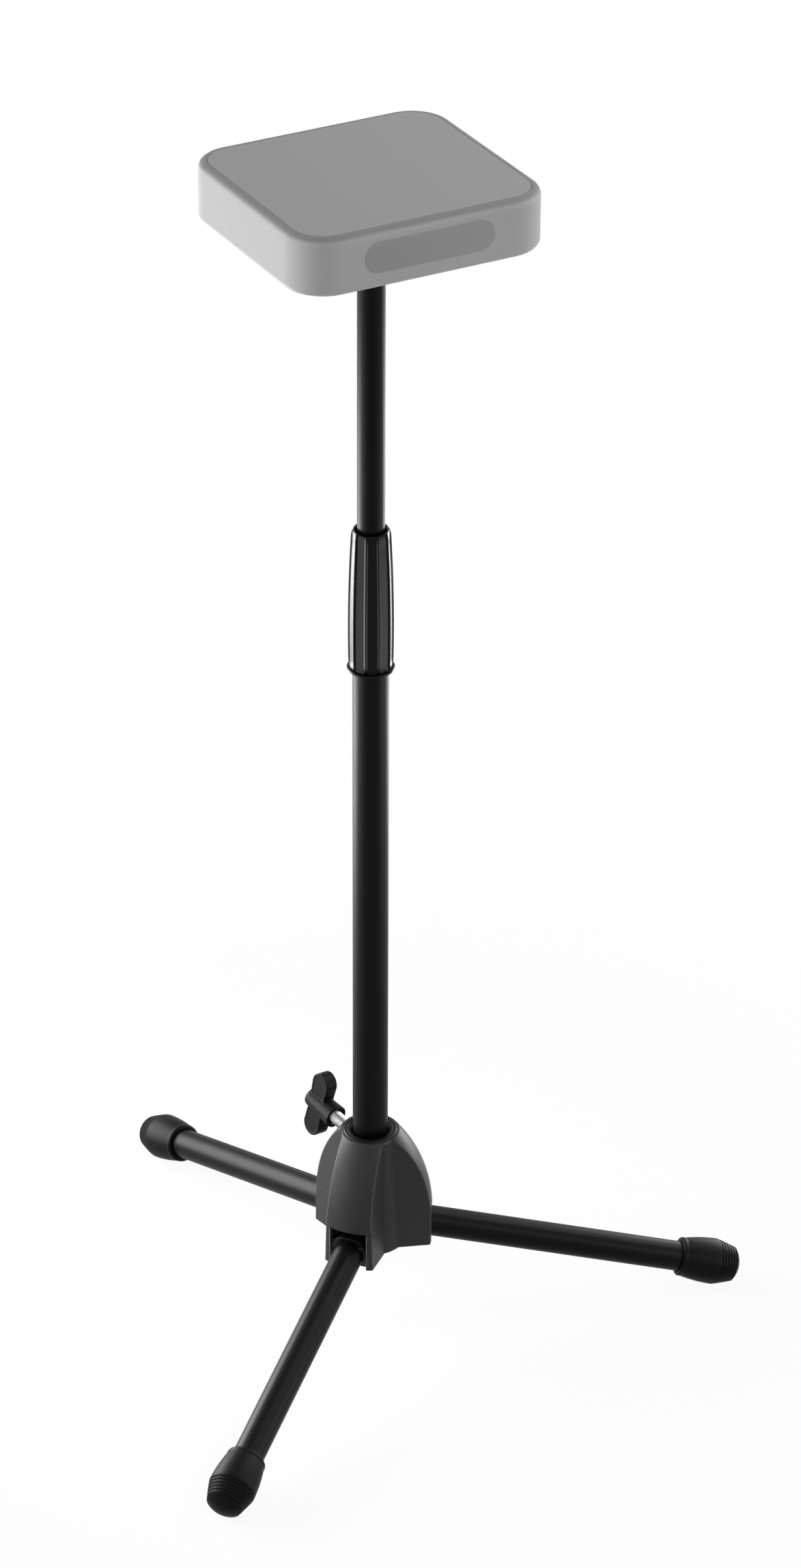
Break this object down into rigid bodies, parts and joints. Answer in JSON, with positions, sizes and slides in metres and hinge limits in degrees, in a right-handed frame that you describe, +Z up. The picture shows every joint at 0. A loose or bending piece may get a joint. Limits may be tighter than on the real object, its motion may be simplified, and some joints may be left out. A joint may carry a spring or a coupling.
{
  "type": "percussion stand",
  "caption": "Free-standing tripod stand with fold-down legs, a clamped column, a telescoping rod with a twist clutch and a square percussion pad on top.",
  "frame": {"origin": "on the floor, at the middle of the box round the spread feet; the column's axis stands 64.9 mm further along +Y", "axes": "+Z up along the column, -Y along the front leg, +X to the right seen from the front leg"},
  "size_m": [0.4854, 0.4244, 0.9026],
  "materials": {
    "cast_hub": "satin dark grey coat on a die casting",
    "black_tube": "satin black powder coat on steel tube",
    "zinc_steel": "bright zinc",
    "black_plastic": "fine moulded texture",
    "knob_plastic": "satin moulded plastic",
    "grip_plastic": "satin moulded plastic with ribs",
    "nylon": "natural nylon",
    "foot_rubber": "matt moulded rubber",
    "pad_shell": "satin grey",
    "pad_plate": "fine matt grey",
    "pad_base": "painted board",
    "port_screen": "grey woven screen on a stiff panel",
    "black_screw": "black screws"
  },
  "bodies": {
    "base": {"leg_carrier": "cast_hub", "hub_dome": "cast_hub", "hub_screws": "zinc_steel", "collar_ring": "black_plastic", "column_bush": "black_plastic", "clamp_shoe": "nylon", "leg_pin_1": "zinc_steel", "leg_pin_2": "zinc_steel", "leg_pin_3": "zinc_steel"},
    "wing_screw": {"wing_screw_shank": "zinc_steel", "wing_knob": "knob_plastic"},
    "column": {"column_tube": "black_tube", "column_end_cap": "black_plastic", "clutch_thread_bush": "black_plastic", "clutch_collet": "nylon"},
    "grip": {"grip_sleeve": "grip_plastic"},
    "rod_guide": {"rod_guide_plug": "nylon"},
    "rod": {"rod_tube": "black_tube", "rod_top_stud": "zinc_steel"},
    "pad": {"pad_frame": "pad_shell", "playing_plate": "pad_plate", "pad_bottom_plate": "pad_base", "port_panel": "port_screen", "pad_flange": "zinc_steel", "flange_screws": "zinc_steel", "bottom_plate_screws": "black_screw"},
    "leg_1": {"leg_root_1": "black_plastic", "leg_tube_1": "black_tube", "leg_foot_1": "foot_rubber"},
    "leg_2": {"leg_root_2": "black_plastic", "leg_tube_2": "black_tube", "leg_foot_2": "foot_rubber"},
    "leg_3": {"leg_root_3": "black_plastic", "leg_tube_3": "black_tube", "leg_foot_3": "foot_rubber"}
  },
  "joints": [
    {"name": "leg_1_fold", "type": "hinge", "parent": "base", "child": "leg_1", "pos_m": [0, 0.03328, 0.07659], "axis": [1, 0, 0], "range_deg": [0, 74]},
    {"name": "leg_2_fold", "type": "hinge", "parent": "base", "child": "leg_2", "pos_m": [0.02737, 0.08068, 0.07659], "axis": [-0.5, 0.866, 0], "range_deg": [0, 74]},
    {"name": "leg_3_fold", "type": "hinge", "parent": "base", "child": "leg_3", "pos_m": [-0.02737, 0.08068, 0.07659], "axis": [-0.5, -0.866, 0], "range_deg": [0, 74]},
    {"name": "wing_screw_turn", "type": "hinge", "parent": "base", "child": "wing_screw", "pos_m": [0, 0.06488, 0.14049], "axis": [-0.8576, 0.4951, 0.1392], "range_deg": [0, 720]},
    {"name": "column_slide", "type": "slide", "parent": "base", "child": "column", "axis": [0, 0, 1], "range_m": [0, 0.06]},
    {"name": "grip_turn", "type": "hinge", "parent": "column", "child": "grip", "pos_m": [0, 0.06488, 0.5], "axis": [0, 0, 1], "range_deg": [0, 180]},
    {"name": "rod_slide", "type": "slide", "parent": "column", "child": "rod_guide", "axis": [0, 0, 1], "range_m": [-0.19, 0.18]},
    {"name": "rod_turn", "type": "hinge", "parent": "rod_guide", "child": "rod", "pos_m": [0, 0.06488, 0.5], "axis": [0, 0, 1], "continuous": true},
    {"name": "pad_lift", "type": "slide", "parent": "rod", "child": "pad", "axis": [0, 0, 1], "range_m": [0, 0.03]}
  ]
}
